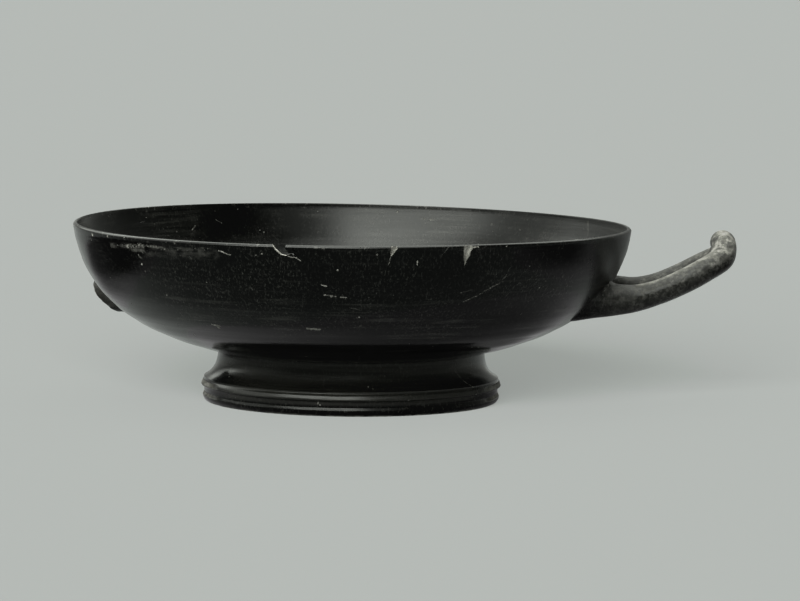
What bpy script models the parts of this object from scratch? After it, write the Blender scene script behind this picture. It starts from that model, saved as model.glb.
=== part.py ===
"""A wide, shallow drinking cup of fired clay, turned on a wheel and set on a low moulded foot.

One horizontal loop handle stands on the right. Its twin on the left is lost: one of its roots is a broken
stub, and the other broke off nearly flush. The rim has one deep notch. The cup was fired as one piece, so it
is one solid. Metres, +Z up. It stands on its foot at z = 0, and the origin is the middle of the whole piece.
"""

import math

import bmesh
import bpy
from mathutils import Matrix, Vector

# The bowl, in radius and height from the middle of its foot
RIM_RADIUS = 0.0944
RIM_HEIGHT = 0.0596
LIP_OUTSIDE = (0.00120, 0.00095)
LIP_INSIDE = (0.00035, 0.00060)
STEM_TOP = (0.0452, 0.0167)
OUTER_LOW_PULL = (0.0672, 0.0222)
OUTER_HIGH_PULL = (0.0903, 0.0309)
FLOOR_EDGE = (0.0420, 0.0216)
FLOOR_MIDDLE = 0.0206
INNER_LOW_PULL = (0.0660, 0.0245)
INNER_HIGH_PULL = (0.0858, 0.0365)
HALF_WALL = 0.0019

# The foot, from its stem down to what it rests on and up into its recess
STEM_HIGH_PULL = (0.0454, 0.0115)
STEM_LOW_PULL = (0.0470, 0.0092)
RIDGE_TOP = (0.04990, 0.00745)
RIDGE_SHOULDER = (0.05022, 0.00720)
RIDGE = (0.05058, 0.00620)
RIDGE_FOOT = (0.05050, 0.00540)
BAND_TOP = (0.04985, 0.00495)
BAND_FOOT = (0.04980, 0.00315)
BEAD = (0.05013, 0.00220)
BEAD_FOOT = (0.05000, 0.00115)
REST_OUTER = 0.0488
REST_INNER = 0.0415
REST_ROUNDING = 0.0006
RECESS_WALL = (0.0385, 0.0095)
RECESS_CORNER = (0.0372, 0.0126)
RECESS_CEILING = (0.0340, 0.0132)
RECESS_POINT = 0.0142

# The loop handle: how far out from the cup's axis, half the spread of its bars, and their middle's height
HANDLE_RUN = (
    (0.0700, 0.0172, 0.0364),
    (0.0800, 0.0170, 0.0366),
    (0.0880, 0.0162, 0.0366),
    (0.0960, 0.0154, 0.0371),
    (0.1040, 0.0150, 0.0394),
    (0.1120, 0.0146, 0.0430),
    (0.1190, 0.0124, 0.0468),
    (0.1237, 0.0082, 0.0507),
    (0.1254, 0.0044, 0.0540),
    (0.1260, 0.0000, 0.0554),
)
BAR_HALF_WIDTH = 0.0043
BAR_HALF_HEIGHT = 0.00415
ROOT_EXTRA_WIDTH = 0.0016
ROOT_EXTRA_HEIGHT = 0.0039
FLARE_START = 0.1030
FLARE_LENGTH = 0.0280
FLARE_POWER = 1.2
HANDLE_TURN = math.radians(-3.5)

# The lost handle's broken roots: a short run of each bar, and how far it stands out from the wall
STUB_RUN = ((0.0700, 0.0172, 0.0338), (0.0980, 0.0158, 0.0336))
STUB_FLARE = 0.5
BACK_STUB_PROUD = 0.0048
FRONT_STUB_PROUD = 0.0005

# The notch: its place round the rim, and its corners as distance along the rim and below the rim's top
NOTCH_TURN = math.radians(-104.5)
NOTCH_CORNERS = ((-0.0024, -0.0010), (0.0022, -0.0010), (0.0042, 0.0027), (0.0022, 0.0037))
NOTCH_REACH = (0.0850, 0.1000)

# The kiln's warp: the rim leans down towards the handle, and its front and its back lean by unlike amounts
LEAN = 0.0051
TWIST = 0.0070

# How fine the facets are
TURNS = 72
OUTER_STEPS = 15
INNER_STEPS = 13
LIP_STEPS = 3
STEM_STEPS = 5
SECTION_SIDES = 14
SPAN_STEPS = 3
MERGE = 0.00001
ABOVE_THE_RIM = 0.0750
SHARP_EDGE = math.radians(38)

GLOSS_COLOUR = (0.012, 0.013, 0.012, 1.0)
GLOSS_ROUGHNESS = 0.28


def clear_scene():
    """Removes every object that the scene starts with."""
    for thing in list(bpy.data.objects):
        bpy.data.objects.remove(thing)


def black_gloss():
    """The fired black slip that covers the cup."""
    material = bpy.data.materials.new("black_gloss")
    material.use_nodes = True
    shader = material.node_tree.nodes["Principled BSDF"]
    shader.inputs["Base Color"].default_value = GLOSS_COLOUR
    shader.inputs["Roughness"].default_value = GLOSS_ROUGHNESS
    shader.inputs["Metallic"].default_value = 0.0
    return material


def place(mesh, name):
    """A new object that holds the mesh."""
    thing = bpy.data.objects.new(name, mesh)
    bpy.context.scene.collection.objects.link(thing)
    return thing


def helper(thing):
    """Marks an object that only shapes another one."""
    thing.hide_render = True
    thing.display_type = "WIRE"
    return thing


def curve(start, pull_a, pull_b, end, steps):
    """Points along a cubic curve, with both of its ends."""
    points = []
    for step in range(steps + 1):
        t = step / steps
        u = 1 - t
        weights = (u**3, 3 * u * u * t, 3 * u * t * t, t**3)
        corners = (start, pull_a, pull_b, end)
        points.append(tuple(sum(w * p[axis] for w, p in zip(weights, corners)) for axis in range(2)))
    return points


def inner_wall():
    """The bowl's inner side, from the edge of its floor up to the lip."""
    top = (RIM_RADIUS - LIP_OUTSIDE[0] - LIP_INSIDE[0], RIM_HEIGHT - LIP_INSIDE[1])
    return curve(FLOOR_EDGE, INNER_LOW_PULL, INNER_HIGH_PULL, top, INNER_STEPS)


def outer_wall():
    """The bowl's outer side, from the lip down to the top of the stem."""
    top = (RIM_RADIUS, RIM_HEIGHT - LIP_OUTSIDE[1])
    return curve(top, OUTER_HIGH_PULL, OUTER_LOW_PULL, STEM_TOP, OUTER_STEPS)


def lip():
    """The rim's edge, which is crisp and highest on its inside, and rounds down to the outside."""
    crest = RIM_RADIUS - LIP_OUTSIDE[0]
    points = []
    for (wide, tall), start in ((LIP_INSIDE, -1), (LIP_OUTSIDE, 0)):
        for step in range(LIP_STEPS):
            angle = (start + step / LIP_STEPS) * math.pi / 2
            points.append((crest + wide * math.sin(angle), RIM_HEIGHT - tall + tall * math.cos(angle)))
    return points[1:]


def foot():
    """The stem's hollow curve, the ridge, the band, the bead, the resting ring, and the recess under it."""
    stem = curve(STEM_TOP, STEM_HIGH_PULL, STEM_LOW_PULL, RIDGE_TOP, STEM_STEPS)[1:]
    mouldings = [RIDGE_SHOULDER, RIDGE, RIDGE_FOOT, BAND_TOP, BAND_FOOT, BEAD, BEAD_FOOT]
    rest = [(REST_OUTER + REST_ROUNDING / 2, REST_ROUNDING / 4), (REST_OUTER, 0.0)]
    underside = [
        (REST_INNER, 0.0),
        (REST_INNER - REST_ROUNDING, REST_ROUNDING),
        RECESS_WALL,
        RECESS_CORNER,
        RECESS_CEILING,
        (RECESS_CEILING[0] / 2, (RECESS_CEILING[1] + RECESS_POINT) / 2),
        (0.0, RECESS_POINT),
    ]
    return stem + mouldings + rest + underside


def vessel_outline():
    """The turned cup's whole outline, from the middle of its floor round to the middle of its underside."""
    floor = [(0.0, FLOOR_MIDDLE), (FLOOR_EDGE[0] / 2, (FLOOR_MIDDLE + FLOOR_EDGE[1]) / 2)]
    return floor + inner_wall() + lip() + outer_wall() + foot()


def moved_out(points, distance):
    """The points moved square to the line through them, away from the cup."""
    moved = []
    for index, (radius, height) in enumerate(points):
        before = points[max(index - 1, 0)]
        after = points[min(index + 1, len(points) - 1)]
        along = Vector((after[0] - before[0], after[1] - before[1])).normalized()
        moved.append((radius - along.y * distance, height + along.x * distance))
    return moved


def swollen_outline(distance):
    """A plug as wide as the bowl's outer side, moved out by a distance, and closed above the rim."""
    side = moved_out(outer_wall(), distance)
    bottom = side[-1][1]
    return [(0.0, ABOVE_THE_RIM), (side[0][0], ABOVE_THE_RIM)] + side + [(0.0, bottom)]


def turned(name, outline):
    """A solid of revolution about Z, from an outline that runs down its outer side."""
    mesh = bpy.data.meshes.new(name)
    points = [(radius, 0.0, height) for radius, height in outline]
    edges = [(index, index + 1) for index in range(len(points) - 1)]
    mesh.from_pydata(points, edges, [])
    thing = place(mesh, name)
    lathe = thing.modifiers.new("lathe", "SCREW")
    lathe.angle = 2 * math.pi
    lathe.steps = TURNS
    lathe.render_steps = TURNS
    lathe.use_merge_vertices = True
    lathe.merge_threshold = MERGE
    return thing


def smooth_through(stations):
    """More points on a smooth line through the stations, which it passes through."""
    ends = [2 * stations[0] - stations[1]] + stations + [2 * stations[-1] - stations[-2]]
    points = []
    for a, b, c, d in zip(ends, ends[1:], ends[2:], ends[3:]):
        for step in range(SPAN_STEPS):
            t = step / SPAN_STEPS
            bend = (2 * a - 5 * b + 4 * c - d) * t * t + (3 * b - a - 3 * c + d) * t**3
            points.append(b + ((c - a) * t + bend) / 2)
    return points + [stations[-1]]


def loop_stations():
    """The handle's middle line, from its front root out round the loop to its back root."""
    front = [Vector((out, -spread, height)) for out, spread, height in HANDLE_RUN]
    back = [Vector((out, spread, height)) for out, spread, height in reversed(HANDLE_RUN[:-1])]
    return front + back


def half_sizes(out, flare_share):
    """Half the width and half the height of a bar at a distance out from the cup's axis."""
    flare = flare_share * min(max((FLARE_START - out) / FLARE_LENGTH, 0.0), 1.0) ** FLARE_POWER
    return BAR_HALF_WIDTH + ROOT_EXTRA_WIDTH * flare, BAR_HALF_HEIGHT + ROOT_EXTRA_HEIGHT * flare


def bar(name, stations, flare_share):
    """A closed bar of oval section along the stations, widened at the wall by a share of the full flare."""
    path = smooth_through(stations)
    build = bmesh.new()
    rings = []
    for index, middle in enumerate(path):
        along = (path[min(index + 1, len(path) - 1)] - path[max(index - 1, 0)]).normalized()
        side = along.cross(Vector((0, 0, 1))).normalized()
        up = side.cross(along)
        wide, tall = half_sizes(middle.x, flare_share)
        ring = []
        for corner in range(SECTION_SIDES):
            angle = 2 * math.pi * corner / SECTION_SIDES
            ring.append(build.verts.new(middle + side * wide * math.cos(angle) + up * tall * math.sin(angle)))
        rings.append(ring)
    for ring, after in zip(rings, rings[1:]):
        for corner in range(SECTION_SIDES):
            beside = (corner + 1) % SECTION_SIDES
            build.faces.new((ring[corner], ring[beside], after[beside], after[corner]))
    build.faces.new(rings[0])
    build.faces.new(rings[-1])
    bmesh.ops.recalc_face_normals(build, faces=build.faces)
    mesh = bpy.data.meshes.new(name)
    build.to_mesh(mesh)
    build.free()
    return helper(place(mesh, name))


def combine(thing, other, operation):
    """Adds an exact Boolean of another object to a thing."""
    step = thing.modifiers.new(f"{operation.lower()}_{other.name}", "BOOLEAN")
    step.operation = operation
    step.solver = "EXACT"
    step.object = other


def handle(wall_core):
    """The surviving loop handle, cut off inside the wall's thickness."""
    loop = bar("handle_bar", loop_stations(), 1.0)
    loop.rotation_euler.z = HANDLE_TURN
    combine(loop, wall_core, "DIFFERENCE")
    return loop


def lost_root(name, side, proud, wall_core):
    """One root of the lost handle, on one side of its middle, broken off at a distance from the wall."""
    run = [Vector((out, side * spread, height)) for out, spread, height in STUB_RUN]
    root = bar(name, run, STUB_FLARE)
    root.rotation_euler.z = math.pi + HANDLE_TURN
    combine(root, wall_core, "DIFFERENCE")
    combine(root, helper(turned(f"{name}_break", swollen_outline(proud))), "INTERSECT")
    return root


def notch():
    """A wedge through the rim's wall where a chip broke out."""
    build = bmesh.new()
    ends = []
    for reach in NOTCH_REACH:
        ring = [build.verts.new((reach, along, RIM_HEIGHT - below)) for along, below in NOTCH_CORNERS]
        build.faces.new(ring)
        ends.append(ring)
    inner, outer = ends
    for index in range(len(NOTCH_CORNERS)):
        after = (index + 1) % len(NOTCH_CORNERS)
        build.faces.new((inner[index], inner[after], outer[after], outer[index]))
    bmesh.ops.recalc_face_normals(build, faces=build.faces)
    bmesh.ops.transform(build, matrix=Matrix.Rotation(NOTCH_TURN, 4, "Z"), verts=build.verts)
    mesh = bpy.data.meshes.new("rim_notch")
    build.to_mesh(mesh)
    build.free()
    return helper(place(mesh, "rim_notch"))


def warped(point):
    """A point of the true cup moved to where the kiln left it: not at all by the stem, most at the rim."""
    share = min(max((point.z - STEM_TOP[1]) / (RIM_HEIGHT - STEM_TOP[1]), 0.0), 1.0)
    drop = LEAN * point.x + TWIST * point.x * point.y / RIM_RADIUS
    return Vector((point.x, point.y, point.z - share * drop))


def main():
    """Builds the cup as one solid, warps it, and puts the origin under the middle of its box."""
    clear_scene()
    wall_core = helper(turned("wall_core", swollen_outline(-HALF_WALL)))
    vessel = turned("vessel", vessel_outline())
    combine(vessel, handle(wall_core), "UNION")
    combine(vessel, lost_root("back_stub", -1, BACK_STUB_PROUD, wall_core), "UNION")
    combine(vessel, lost_root("front_stub", 1, FRONT_STUB_PROUD, wall_core), "UNION")
    combine(vessel, notch(), "DIFFERENCE")

    bpy.context.view_layer.update()
    graph = bpy.context.evaluated_depsgraph_get()
    mesh = bpy.data.meshes.new_from_object(vessel.evaluated_get(graph))
    helper(vessel)
    for vertex in mesh.vertices:
        vertex.co = warped(vertex.co)
    middle = [
        (min(v.co[axis] for v in mesh.vertices) + max(v.co[axis] for v in mesh.vertices)) / 2
        for axis in range(2)
    ]
    mesh.transform(Matrix.Translation((-middle[0], -middle[1], 0.0)))
    mesh.shade_smooth()
    mesh.set_sharp_from_angle(angle=SHARP_EDGE)
    mesh.materials.clear()
    mesh.materials.append(black_gloss())
    place(mesh, "cup")


main()
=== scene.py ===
"""The finished look of a wide, shallow drinking cup of fired clay with a black gloss.

The cup is one vessel: a wheel-turned bowl on a moulded foot, the loop handle that is left, the stub and the
scar of the lost one, and the damage to its rim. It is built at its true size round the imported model, as one
closed mesh with two finishes: the black gloss, and the bare clay of its breaks. Metres, +Z up.
"""

import logging
import math
from dataclasses import dataclass, field
from enum import Enum
from functools import partial, reduce
from typing import Sequence

import bmesh
import bpy
import numpy as np
from mathutils import Matrix, Vector, noise

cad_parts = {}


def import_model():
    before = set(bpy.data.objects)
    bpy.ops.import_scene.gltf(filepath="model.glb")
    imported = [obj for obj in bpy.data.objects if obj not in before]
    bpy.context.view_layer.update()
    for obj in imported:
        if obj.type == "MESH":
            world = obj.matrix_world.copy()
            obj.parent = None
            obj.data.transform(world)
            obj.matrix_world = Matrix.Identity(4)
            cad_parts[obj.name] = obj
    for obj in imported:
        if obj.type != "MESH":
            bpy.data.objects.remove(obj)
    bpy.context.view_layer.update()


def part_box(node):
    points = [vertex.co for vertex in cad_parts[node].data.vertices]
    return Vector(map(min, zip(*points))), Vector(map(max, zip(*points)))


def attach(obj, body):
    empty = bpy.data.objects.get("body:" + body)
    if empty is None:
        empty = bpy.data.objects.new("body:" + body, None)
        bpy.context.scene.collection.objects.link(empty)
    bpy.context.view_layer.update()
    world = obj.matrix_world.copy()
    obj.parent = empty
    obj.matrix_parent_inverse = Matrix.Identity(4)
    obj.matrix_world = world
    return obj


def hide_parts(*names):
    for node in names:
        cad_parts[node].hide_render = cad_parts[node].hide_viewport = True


LOG = logging.getLogger("cup")
MM = 0.001
COMBINED_CURVE = 3
BLACK = (0.0, 0.0, 0.0, 1.0)
WHITE = (1.0, 1.0, 1.0, 1.0)

Pair = tuple[float, float]
Triple = tuple[float, float, float]
Colour = tuple[float, float, float, float]
Socket = bpy.types.NodeSocket
Holder = bpy.types.Material | bpy.types.World
Thing = bpy.types.Object
Values = Sequence[object] | dict[str | int, object]

NUMBERS = ("DOT_PRODUCT", "LENGTH", "DISTANCE")


class Slot(Enum):
    """The two finishes, by the number of their material slot on the mesh."""

    GLOSS = 0
    CLAY = 1

    @property
    def material(self) -> bpy.types.Material:
        """This finish's material, plain until it is dressed."""
        name = self.name.lower()
        return bpy.data.materials.get(name) or bpy.data.materials.new(name)


class Skin(Enum):
    """The two skins of the bowl's wall."""

    OUTSIDE = "outside"
    INSIDE = "inside"


def mm(*sizes: float) -> tuple[float, ...]:
    """Sizes in millimetres, as metres."""
    return tuple(size * MM for size in sizes)


def cubic(start: Pair, pull_a: Pair, pull_b: Pair, end: Pair, steps: int) -> list[Pair]:
    """Points along a cubic curve.

    Args:
        start: The first point.
        pull_a: The point that the curve leaves towards.
        pull_b: The point that the curve arrives from.
        end: The last point.
        steps: How many spans the curve is cut into.

    Returns:
        The points, with both ends.
    """
    points = []
    for step in range(steps + 1):
        t = step / steps
        u = 1 - t
        weights = (u**3, 3 * u * u * t, 3 * u * t * t, t**3)
        corners = (start, pull_a, pull_b, end)
        points.append(tuple(sum(w * p[axis] for w, p in zip(weights, corners)) for axis in range(2)))
    return points


def eased(corners: Sequence[Pair], radius: float, steps: int) -> list[Pair]:
    """A line through corners with each inner corner rounded off.

    Args:
        corners: The line's corners.
        radius: How far from each corner the rounding starts.
        steps: How many spans each rounding has.

    Returns:
        The points of the eased line, with both ends.
    """
    line = [Vector(corner) for corner in corners]
    points = [tuple(line[0])]
    for before, corner, after in zip(line, line[1:], line[2:]):
        reach_in = min(radius, 0.45 * (corner - before).length)
        reach_out = min(radius, 0.45 * (after - corner).length)
        enter = corner + (before - corner).normalized() * reach_in
        leave = corner + (after - corner).normalized() * reach_out
        for step in range(steps + 1):
            t = step / steps
            points.append(tuple(enter * (1 - t) ** 2 + corner * 2 * t * (1 - t) + leave * t * t))
    points.append(tuple(line[-1]))
    return points


def spaced(points: Sequence[Pair], gap: float) -> list[Pair]:
    """The same line with extra points, so that none are further apart than a gap."""
    line = [points[0]]
    for a, b in zip(points, points[1:]):
        pieces = max(1, math.ceil(math.dist(a, b) / gap))
        line += [tuple(a[k] + (b[k] - a[k]) * n / pieces for k in range(2)) for n in range(1, pieces + 1)]
    return line


def smooth_through(stations: Sequence[Vector], spans: int) -> list[Vector]:
    """More points on a smooth line that passes through every station.

    Args:
        stations: The places that the line passes through.
        spans: How many points stand for each stretch between two stations.

    Returns:
        The line's points, from the first station to the last.
    """
    ends = [2 * stations[0] - stations[1], *stations, 2 * stations[-1] - stations[-2]]
    points = []
    for a, b, c, d in zip(ends, ends[1:], ends[2:], ends[3:]):
        for step in range(spans):
            t = step / spans
            bend = (2 * a - 5 * b + 4 * c - d) * t * t + (3 * b - a - 3 * c + d) * t**3
            points.append(b + ((c - a) * t + bend) / 2)
    return [*points, stations[-1].copy()]


def ringed(radius: np.ndarray, turn: np.ndarray, height: np.ndarray) -> np.ndarray:
    """Points by distance from the axis, turn round it and height, for arrays that broadcast together."""
    return np.stack(np.broadcast_arrays(radius * np.cos(turn), radius * np.sin(turn), height), axis=-1)


def place(data: bpy.types.ID, name: str) -> Thing:
    """A new object in the scene that holds a mesh, a lamp or a camera."""
    thing = bpy.data.objects.new(name, data)
    bpy.context.scene.collection.objects.link(thing)
    return thing


def meshed(name: str, build: bmesh.types.BMesh, materials: Sequence[bpy.types.Material]) -> Thing:
    """A new object with its materials, which holds a mesh that is done being built."""
    mesh = bpy.data.meshes.new(name)
    build.to_mesh(mesh)
    build.free()
    for material in materials:
        mesh.materials.append(material)
    return place(mesh, name)


def made_solid(name: str, build: bmesh.types.BMesh, slot: Slot) -> Thing:
    """A new solid in one finish, with both finishes' slots, with its faces turned outwards."""
    bmesh.ops.recalc_face_normals(build, faces=build.faces)
    for face in build.faces:
        face.material_index = slot.value
        face.smooth = True
    return meshed(name, build, [slot.material for slot in Slot])


def sheet(name: str, radius: float, segments: int, material: bpy.types.Material) -> Thing:
    """A flat round sheet of one material."""
    build = bmesh.new()
    bmesh.ops.create_circle(build, cap_ends=True, segments=segments, radius=radius)
    return meshed(name, build, [material])


def solid(name: str, rows: np.ndarray, closed: bool, slot: Slot) -> Thing:
    """A closed solid skinned over rows of points.

    Args:
        name: The object's name.
        rows: Points as rows, columns and x, y, z. Each row is a ring.
        closed: True where the first and last rows are single points, False where they are flat ends.
        slot: The finish of every face.

    Returns:
        The solid, with its faces turned outwards.
    """
    sides = rows.shape[1]
    build = bmesh.new()
    first = build.verts.new(rows[0].mean(axis=0)) if closed else None
    last = build.verts.new(rows[-1].mean(axis=0)) if closed else None
    body = rows[1:-1] if closed else rows
    rings = [[build.verts.new(point) for point in ring] for ring in body]
    for ring, after in zip(rings, rings[1:]):
        for corner in range(sides):
            beside = (corner + 1) % sides
            build.faces.new((ring[corner], ring[beside], after[beside], after[corner]))
    if closed:
        for corner in range(sides):
            beside = (corner + 1) % sides
            build.faces.new((first, rings[0][beside], rings[0][corner]))
            build.faces.new((last, rings[-1][corner], rings[-1][beside]))
    else:
        build.faces.new(rings[0])
        build.faces.new(rings[-1])
    return made_solid(name, build, slot)


def joined(name: str, things: Sequence[Thing]) -> Thing:
    """One object with the faces of several, which are removed."""
    build = bmesh.new()
    for thing in things:
        build.from_mesh(thing.data)
        bpy.data.objects.remove(thing)
    return meshed(name, build, [slot.material for slot in Slot])


def combined(thing: Thing, other: Thing, operation: str) -> Thing:
    """Applies an exact Boolean to a thing and removes the other object.

    Args:
        thing: The object that changes.
        other: The object that is added, taken away or crossed with it.
        operation: UNION, DIFFERENCE or INTERSECT.

    Returns:
        The changed object.
    """
    step = thing.modifiers.new(operation.lower(), "BOOLEAN")
    step.operation = operation
    step.solver = "EXACT"
    step.material_mode = "INDEX"
    step.object = other
    bpy.context.view_layer.update()
    graph = bpy.context.evaluated_depsgraph_get()
    made = bpy.data.meshes.new_from_object(thing.evaluated_get(graph))
    thing.modifiers.clear()
    thing.data = made
    bpy.data.objects.remove(other)
    return thing


@dataclass(frozen=True)
class KilnWarp:
    """How the cup leaned as it was fired: not at all by the stem, and most at the rim."""

    lean: float = 0.0051
    twist: float = 0.0070
    stem_height: float = 0.0167
    rim_height: float = 0.0596
    rim_radius: float = 0.0944

    def drop(self, spots: np.ndarray) -> np.ndarray:
        """How far each spot sinks, for spots of shape (..., 3)."""
        share = np.clip((spots[..., 2] - self.stem_height) / (self.rim_height - self.stem_height), 0, 1)
        slope = self.lean * spots[..., 0] + self.twist * spots[..., 0] * spots[..., 1] / self.rim_radius
        return share * slope

    def warped(self, spots: np.ndarray) -> np.ndarray:
        """The spots where the kiln left them."""
        moved = spots.copy()
        moved[..., 2] -= self.drop(spots)
        return moved


@dataclass(frozen=True)
class ThrownSurface:
    """The faint waves that a potter's fingers and turning tools leave round a wheel-made wall."""

    long_wave: float = 0.0105
    short_wave: float = 0.0042
    long_depth: float = 0.000055
    short_depth: float = 0.000018
    wander: float = 1.1
    uneven: float = 0.00012

    def lift(self, run: np.ndarray, turn: np.ndarray) -> np.ndarray:
        """How far the surface stands out of its true form.

        Args:
            run: Distance along the profile.
            turn: Angle round the axis.

        Returns:
            The lift at each place, for arrays that broadcast together.
        """
        spiral = turn / math.tau
        drift = self.wander * (np.sin(turn + 0.6) + 0.5 * np.sin(2 * turn + run * 90))
        long_phase = math.tau * (run / self.long_wave + spiral) + drift
        short_phase = math.tau * (run / self.short_wave + 2 * spiral) + 1.7 * drift
        swell = 0.6 + 0.4 * np.sin(run * 210 + 2.0 + np.sin(turn * 2))
        waves = self.long_depth * np.sin(long_phase) + self.short_depth * np.sin(short_phase) * swell
        hand = np.sin(3 * turn + run * 60) + 0.6 * np.sin(5 * turn - run * 110 + 1.0)
        return waves + self.uneven * 0.25 * hand


@dataclass
class Vessel:
    """The bowl and its foot, as turned on the wheel."""

    rim_radius: float = 0.0944
    rim_height: float = 0.0596
    lip_outside: Pair = (0.00120, 0.00095)
    lip_inside: Pair = (0.00035, 0.00060)
    stem_top: Pair = (0.0452, 0.0167)
    outer_low_pull: Pair = (0.0672, 0.0222)
    outer_high_pull: Pair = (0.0903, 0.0309)
    floor_edge: Pair = (0.0420, 0.0216)
    floor_middle: float = 0.0206
    inner_low_pull: Pair = (0.0660, 0.0245)
    inner_high_pull: Pair = (0.0858, 0.0365)
    stem_high_pull: Pair = (0.0454, 0.0115)
    stem_low_pull: Pair = (0.0470, 0.0092)
    mouldings: tuple[Pair, ...] = (
        (0.0499, 0.00775), (0.0499, 0.00722), (0.0504, 0.0064), (0.05082, 0.00515), (0.05078, 0.00495),
        (0.05005, 0.0046), (0.04984, 0.00435), (0.04978, 0.00315), (0.0498, 0.0026), (0.05027, 0.00143),
        (0.05018, 0.0008), (0.04965, -0.00005), (0.0491, -0.00036), (0.0487, -0.00045), (0.0415, -0.00045),
        (0.0409, 0.0002), (0.0385, 0.0095), (0.0372, 0.0126), (0.034, 0.0132), (0.0, 0.0142),
    )
    half_wall: float = 0.0019
    core_rise: float = 0.015
    core_sides: int = 144
    turns: int = 410
    outer_steps: int = 62
    inner_steps: int = 46
    lip_steps: int = 6
    stem_steps: int = 12
    edge_easing: float = 0.00022
    floor_gap: float = 0.0030
    underside_gap: float = 0.0045
    flat_sole: float = 0.0004
    flat_middle: float = 0.006
    foot_waves: float = 0.35
    surface: ThrownSurface = field(default_factory=ThrownSurface)

    @property
    def sole(self) -> float:
        """The height of the ring that the foot rests on, below the level that other heights start from."""
        return min(height for _, height in self.mouldings)

    def inner_wall(self) -> list[Pair]:
        """The inner skin's profile, from the floor's edge up to the lip."""
        lip = self.lip_outside[0] + self.lip_inside[0]
        top = (self.rim_radius - lip, self.rim_height - self.lip_inside[1])
        return cubic(self.floor_edge, self.inner_low_pull, self.inner_high_pull, top, self.inner_steps)

    def outer_wall(self) -> list[Pair]:
        """The outer skin's profile, from the lip down to the top of the stem."""
        top = (self.rim_radius, self.rim_height - self.lip_outside[1])
        return cubic(top, self.outer_high_pull, self.outer_low_pull, self.stem_top, self.outer_steps)

    def lip(self) -> list[Pair]:
        """The rim's edge: crisp and highest on its inside, and rounded down to the outside."""
        crest = self.rim_radius - self.lip_outside[0]
        points = []
        for (wide, tall), start in ((self.lip_inside, -1), (self.lip_outside, 0)):
            for step in range(self.lip_steps):
                angle = (start + step / self.lip_steps) * math.pi / 2
                height = self.rim_height - tall + tall * math.cos(angle)
                points.append((crest + wide * math.sin(angle), height))
        return points[1:]

    def profile(self) -> list[Pair]:
        """The whole outline, from the middle of the floor round to the middle of the underside."""
        floor = spaced([(0.0, self.floor_middle), self.floor_edge], self.floor_gap)[:-1]
        pulls = (self.stem_high_pull, self.stem_low_pull)
        stem = cubic(self.stem_top, *pulls, self.mouldings[0], self.stem_steps)
        foot = spaced(eased(self.mouldings, self.edge_easing, 2), self.underside_gap)
        return floor + self.inner_wall() + self.lip() + self.outer_wall() + stem[1:] + foot[1:]

    def build(self) -> Thing:
        """The closed vessel, with the wheel's marks on it.

        Returns:
            The vessel as one object, not yet warped.
        """
        line = np.array(self.profile())
        ahead = np.vstack([line[1:], line[-1:]])
        behind = np.vstack([line[:1], line[:-1]])
        along = ahead - behind
        along /= np.linalg.norm(along, axis=1, keepdims=True)
        run = np.concatenate([[0], np.cumsum(np.linalg.norm(np.diff(line, axis=0), axis=1))])
        turn = np.arange(self.turns) * math.tau / self.turns
        lift = self.surface.lift(run[:, None], turn[None, :])
        lift *= self.softness(line)[:, None]
        radius = line[:, :1] - along[:, 1:] * lift
        height = line[:, 1:] + along[:, :1] * lift
        return solid("cup", ringed(radius, turn, height), True, Slot.GLOSS)

    def softness(self, line: np.ndarray) -> np.ndarray:
        """How much of the wheel's waves each point of the profile takes: none where it rests."""
        resting = np.clip((line[:, 1] - self.sole) / self.flat_sole, 0, 1)
        middle = np.clip(line[:, 0] / self.flat_middle, 0, 1)
        crisp = np.where(line[:, 1] < self.mouldings[0][1], self.foot_waves, 1.0)
        return resting * middle * crisp

    def wall_core(self) -> Thing:
        """A plug whose side lies in the middle of the wall's thickness, closed above the rim."""
        wall = np.array(self.outer_wall()[::3])
        along = np.gradient(wall, axis=0)
        along /= np.linalg.norm(along, axis=1, keepdims=True)
        side = wall + np.stack([along[:, 1], -along[:, 0]], axis=1) * self.half_wall
        cap = self.rim_height + self.core_rise
        line = np.vstack([[0, cap], [side[0, 0], cap], side, [0, side[-1, 1]]])
        turn = np.arange(self.core_sides) * math.tau / self.core_sides
        return solid("wall_core", ringed(line[:, :1], turn, line[:, 1:]), True, Slot.GLOSS)

    def outer_at(self, heights: np.ndarray) -> tuple[np.ndarray, np.ndarray]:
        """The outer skin's radius at some heights, and how fast it widens there."""
        wall = np.array(self.outer_wall()[::-1])
        radius = np.interp(heights, wall[:, 1], wall[:, 0])
        return radius, np.interp(heights, wall[:, 1], np.gradient(wall[:, 0], wall[:, 1]))

    def wall_depth(self, spots: np.ndarray) -> np.ndarray:
        """How far each spot stands out of the outer skin, along the skin's own slope."""
        radius, slope = self.outer_at(spots[..., 2])
        return (np.hypot(spots[..., 0], spots[..., 1]) - radius) / np.sqrt(1 + slope**2)


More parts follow.
